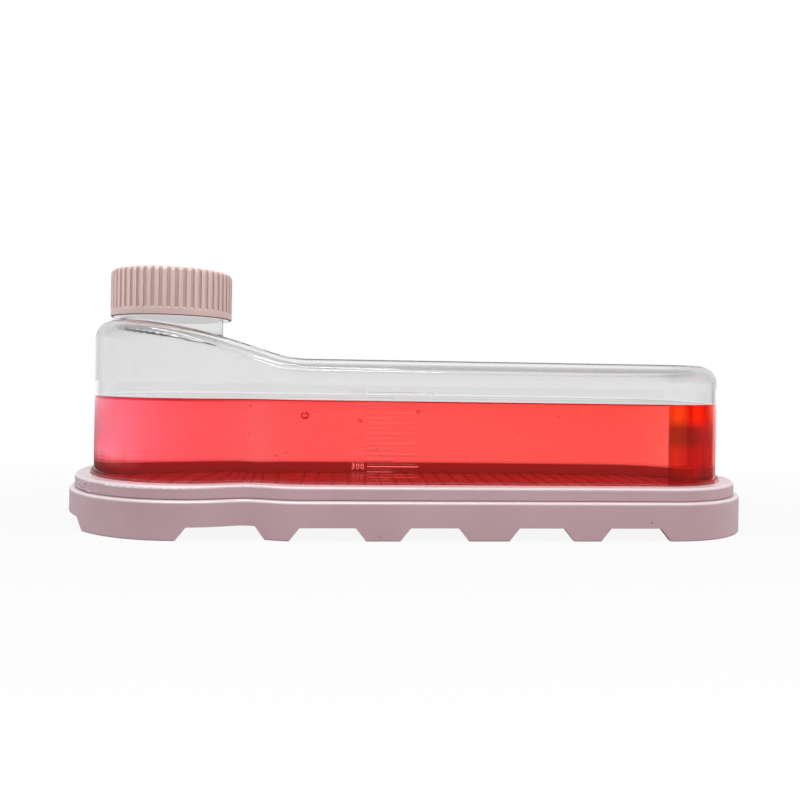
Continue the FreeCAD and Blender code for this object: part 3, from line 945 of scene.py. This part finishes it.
# %% Clumps
CLUMPS = 70
BODY_START, BODY_HALF = -60 * MM, 44 * MM
clump_verts, clump_faces = [], []
for index in range(CLUMPS):
    x = random.uniform(fill_low.x + 12 * MM, fill_high.x - 8 * MM)
    y = random.uniform(-BODY_HALF, 30 * MM)
    if x < BODY_START or abs(y) < BODY_HALF:
        size = random.uniform(0.2, 0.45) * MM
        lump(clump_verts, clump_faces, (x, y, fill_low.z + 0.4 * size), (size, size, size * 0.6), wobble=0.4)
cells = moulded_plastic("cell_clumps", (0.92, 0.80, 0.74), roughness=0.6)
sheet_clumps = mesh_piece("sheet_clumps", clump_verts, clump_faces, cells)
for piece in (floating_flecks, sheet_clumps):
    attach(piece, "vessel")

# %% [markdown]
# ## Burr on the frame
# The mould left a short rough burr below the frame's rounded edge, on its left lobe. It could be carved
# into the frame, but a piece of its own leaves the solid's mesh as it is. It's a chain of small uneven
# lumps, sunk for the most part into the side. Each is placed by its angle round the lobe and its height in
# millimetres.

# %% Frame burr
LOBE_R = 57.5 * MM
lobe_x = stand_low.x + LOBE_R
tier_r = lobe_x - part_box("membrane_frame")[0].x
BURR = ((35.4, 17.7, 0.55), (37.4, 17.2, 0.5), (39.4, 16.8, 0.6), (41.0, 16.5, 0.4), (42.6, 16.2, 0.55),
        (44.0, 15.9, 0.45), (45.3, 15.6, 0.5), (47.0, 15.5, 0.4), (41.4, 18.5, 0.5), (46.5, 18.2, 0.4),
        (25.0, 16.0, 0.4))
burr_verts, burr_faces = [], []
for angle, height, size in BURR:
    turn = math.radians(angle)
    lump(burr_verts, burr_faces, (lobe_x - tier_r * math.cos(turn), -tier_r * math.sin(turn), height * MM),
         (1.4 * size * MM, 1.4 * size * MM, 1.1 * size * MM), wobble=0.35)
burr_plastic = moulded_plastic("burr_plastic", (0.50, 0.37, 0.45), roughness=0.3)
frame_burr = mesh_piece("frame_burr", burr_verts, burr_faces, burr_plastic, smooth_under=60.0)
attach(frame_burr, "vessel")
print("frame burr: %d lumps" % len(BURR))

# %% [markdown]
# ## Stage
# Behind the object everything is white, and what looks through clear plastic sees that white too. But
# clear plastic on plain white can't be seen, so a studio sets dark flags out of the picture, and the
# vessel's edges show them. Here the flags are shares that a floor and a world mix in for some rays only:
# those that a face threw back towards the front, and those that leave to the far left or right.

# %% Shares of white and dark
SIDE_FLAG_X, SIDE_FLAG_SHARE = (0.62, 0.85), 0.5


def mix_shaders(tree, factor, first, second):
    """Shader that runs from the first to the second with a factor."""
    mix = add_node(tree, "MixShader")
    tree.links.new(factor, mix.inputs["Fac"])
    tree.links.new(first, mix.inputs[1])
    tree.links.new(second, mix.inputs[2])
    return mix.outputs["Shader"]


def mirrored(tree):
    """1 for a sharp ray that was thrown back somewhere on its way, as by a face of the clear vessel."""
    path = add_node(tree, "LightPath")
    thrown = add_node(tree, "Math", {"operation": "GREATER_THAN"})
    thrown.inputs[1].default_value = 0.5
    tree.links.new(path.outputs["Glossy Depth"], thrown.inputs[0])
    return overlap(tree, thrown.outputs["Value"], path.outputs["Is Singular Ray"])


def left_over(tree, share):
    """One minus a share."""
    rest = add_node(tree, "Math", {"operation": "SUBTRACT"})
    rest.inputs[0].default_value = 1.0
    tree.links.new(share, rest.inputs[1])
    return rest.outputs["Value"]


def sideways_part(tree, direction):
    """How far a direction of length 1 points to the left or right, from 0 to 1."""
    return absolute(tree, part_along(tree, direction, "X"))


def side_flags(tree, sideways):
    """Share of the dark side flags, which stand at both ends of the table."""
    return ranged(tree, sideways, *SIDE_FLAG_X, 0.0, SIDE_FLAG_SHARE, smooth=True)


def white_shares(tree, behind, sides, clear=None):
    """Shares of white and of the dark flags, for what the eye, a shiny face or clear plastic sees."""
    path = add_node(tree, "LightPath")
    shiny = combine(tree, "MAXIMUM", path.outputs["Is Glossy Ray"], path.outputs["Is Transmission Ray"])
    if clear is not None:
        shiny = overlap(tree, shiny, clear)
    dark = overlap(tree, mirrored(tree), left_over(tree, behind))
    dark = combine(tree, "MAXIMUM", dark, overlap(tree, shiny, sides))
    return combine(tree, "MAXIMUM", path.outputs["Is Camera Ray"], shiny), dark


# %% [markdown]
# The floor is white paper, a hair below the feet so that the two never share a plane. Close round the
# stand a shiny face sees the paper's shade, and further out it sees white. Distances are counted in the
# stand's own half length and half width, so the shade keeps the stand's shape.

# %% Floor
FLOOR_SIZE = 12.0
HAIR = 0.02 * MM
FLAG_START, FLAG_END = 0.1, 1.6
SHADE_START, SHADE_END = 1.1, 1.5
EVEN_START, EVEN_END, NEAR_WHITE = 1.3, 4.0, 0.91
PAPER, FLAG_GREY = (0.5, 0.5, 0.5, 1.0), (0.1, 0.1, 0.1, 1.0)


def paper_finish():
    """White paper that glows where it is looked at, with a dark flag for rays that were thrown back."""
    material = bpy.data.materials.new("white_paper")
    material.use_nodes = True
    tree = material.node_tree
    tree.nodes.remove(tree.nodes["Principled BSDF"])
    paper = add_node(tree, "BsdfDiffuse")
    paper.inputs["Color"].default_value = PAPER
    flag = add_node(tree, "BsdfDiffuse")
    flag.inputs["Color"].default_value = FLAG_GREY
    glow = add_node(tree, "Emission", Strength=1.0)
    place = object_place(tree)
    away = vector_math(tree, "LENGTH", vector_math(tree, "MULTIPLY", place,
                                                   (1 / stand_high.x, 1 / stand_high.y, 0.0)))
    sides = side_flags(tree, sideways_part(tree, vector_math(tree, "NORMALIZE", place)))
    white, dark = white_shares(tree, along(tree, "Y", FLAG_START, FLAG_END), sides,
                               ranged(tree, away, SHADE_START, SHADE_END))
    white = overlap(tree, white, ranged(tree, away, EVEN_START, EVEN_END, NEAR_WHITE, 1.0))
    lit = mix_shaders(tree, white, paper.outputs["BSDF"], glow.outputs["Emission"])
    tree.links.new(mix_shaders(tree, dark, lit, flag.outputs["BSDF"]),
                   tree.nodes["Material Output"].inputs["Surface"])
    return material


def make_floor():
    """One large square of paper."""
    half = FLOOR_SIZE / 2
    verts = [(-half, -half, -HAIR), (half, -half, -HAIR), (half, half, -HAIR), (-half, half, -HAIR)]
    return mesh_piece("floor", verts, [(0, 1, 2, 3)], paper_finish())


make_floor()

# %% [markdown]
# The world is the same idea for rays that leave the table: a dim room lights the object, the eye and clear
# plastic see white, and rays thrown back to the front see a darker wall.

# %% World
ROOM, BACKDROP, DARK_WALL = 0.25, 1.0, 0.3
BACK_AND_UP, BEHIND = (0.0, 0.71, 0.71), (-0.1, 0.6)
MIDDLE_X, END_WHITE = (0.65, 0.25), 0.6
world = bpy.data.worlds.new("studio")
bpy.context.scene.world = world
world.use_nodes = True


def white_light(tree, strength, background=None):
    """Plain white background of a strength; returns its output."""
    background = background or add_node(tree, "Background")
    background.inputs["Color"].default_value = (*WHITE, 1.0)
    background.inputs["Strength"].default_value = strength
    return background.outputs["Background"]


def light_world(tree):
    """Dim room, white backdrop and dark front wall, each for its own rays."""
    direction = add_node(tree, "TexCoord").outputs["Generated"]
    sideways = sideways_part(tree, direction)
    behind = ranged(tree, vector_math(tree, "DOT_PRODUCT", direction, BACK_AND_UP), *BEHIND, smooth=True)
    middle = ranged(tree, sideways, *MIDDLE_X, END_WHITE, 1.0, smooth=True)
    white, dark = white_shares(tree, overlap(tree, behind, middle), side_flags(tree, sideways))
    room = white_light(tree, ROOM, tree.nodes["Background"])
    sky = mix_shaders(tree, white, room, white_light(tree, BACKDROP))
    sky = mix_shaders(tree, dark, sky, white_light(tree, DARK_WALL))
    tree.links.new(sky, tree.nodes["World Output"].inputs["Surface"])


light_world(world.node_tree)
print("world: room %.2f, backdrop %.2f, dark wall %.2f" % (ROOM, BACKDROP, DARK_WALL))

# %% [markdown]
# ## Lamps
# A large overhead box gives the broad soft light of a product table, and a weaker one carries it on over
# the right end. They are kept off the clear pieces, where they would only make haze. Two narrow strips
# draw the long highlights on the roof and the rounded edges. Two side boxes, the left one a little cool,
# and a front box fill the opaque plastic, and no shiny face sees them.

# %% Lamps
centre = (0.0, 0.0, 0.05)
COOL, NEUTRAL = (0.88, 0.95, 1.0), (1.0, 1.0, 1.0)
STRIP_SIZE, BOX_SIZE = (0.85, 0.06), (0.6, 0.6)


def soft_box(name, place, target, size, radiance):
    """Rectangular lamp that faces a target; its power follows from its radiance and size."""
    lamp = bpy.data.lights.new(name, "AREA")
    lamp.shape = "RECTANGLE"
    lamp.size, lamp.size_y = size
    lamp.energy = radiance * math.pi * size[0] * size[1]
    holder = bpy.data.objects.new(name, lamp)
    holder.location = place
    holder.rotation_euler = (Vector(target) - Vector(place)).to_track_quat("-Z", "Y").to_euler()
    bpy.context.scene.collection.objects.link(holder)
    return holder


opaque_only = bpy.data.collections.new("unlit_by_overheads")
clear_pieces = (nodes["flask_body"], medium, neck_thread, volume_marks, volume_numbers, wall_bubbles)
for index, piece in enumerate(clear_pieces):
    opaque_only.objects.link(piece)
    opaque_only.collection_objects[index].light_linking.link_state = "EXCLUDE"
for name, place, size, radiance in (("overhead_box", (-0.17, -0.2, 0.95), (0.85, 0.26), 8.0),
                                    ("overhead_end", (0.48, -0.2, 0.93), (0.42, 0.26), 5.2)):
    soft_box(name, place, centre, size, radiance).light_linking.receiver_collection = opaque_only
for name, place, radiance in (("high_strip", (-0.25, -0.28, 0.93), 14.0),
                              ("low_strip", (-0.25, -0.62, 0.75), 9.0)):
    strip = soft_box(name, place, centre, STRIP_SIZE, radiance)
    strip.visible_diffuse = False
    strip.visible_transmission = False
for name, place, radiance, colour in (("left_box", (-0.9, -0.15, 0.4), 2.4, COOL),
                                      ("right_box", (0.9, -0.15, 0.4), 3.2, NEUTRAL),
                                      ("front_box", (-0.1, -1.0, 0.5), 2.2, NEUTRAL)):
    box = soft_box(name, place, centre, BOX_SIZE, radiance)
    box.data.color = colour
    box.visible_glossy = False
    box.visible_transmission = False

# %% [markdown]
# Light crosses many faces on its way through wall, medium and wall again, so it needs more bounces than
# usual: a ray that runs out of them ends in black.

# %% Bounces
cycles = bpy.context.scene.cycles
cycles.max_bounces, cycles.transmission_bounces, cycles.glossy_bounces = 32, 32, 16
print("bounces: %d" % cycles.max_bounces)

# %% [markdown]
# ## Camera
# The camera stands close, at the height of the vessel's upper half, and a little left of the middle. It
# looks level, so upright walls stay upright, and the picture is moved down a little with the lens shift.

# %% Camera
CAMERA_PLACE = Vector((-24.3, -328.4, 61.7)) * MM
CAMERA_TURN = 0.068
CAMERA_ROLL = 0.0155
LENS = 32.06
SHIFT = 0.0259

lens = bpy.data.cameras.new("camera")
lens.lens = LENS
lens.shift_y = -SHIFT
lens.clip_start = 0.01
camera = bpy.data.objects.new("camera", lens)
camera.location = CAMERA_PLACE
camera.rotation_mode = "XYZ"
camera.rotation_euler = (math.pi / 2, -CAMERA_ROLL, -CAMERA_TURN)
bpy.context.scene.collection.objects.link(camera)
bpy.context.scene.camera = camera
bpy.context.scene.view_settings.view_transform = "Standard"
print("camera at", tuple(camera.location))
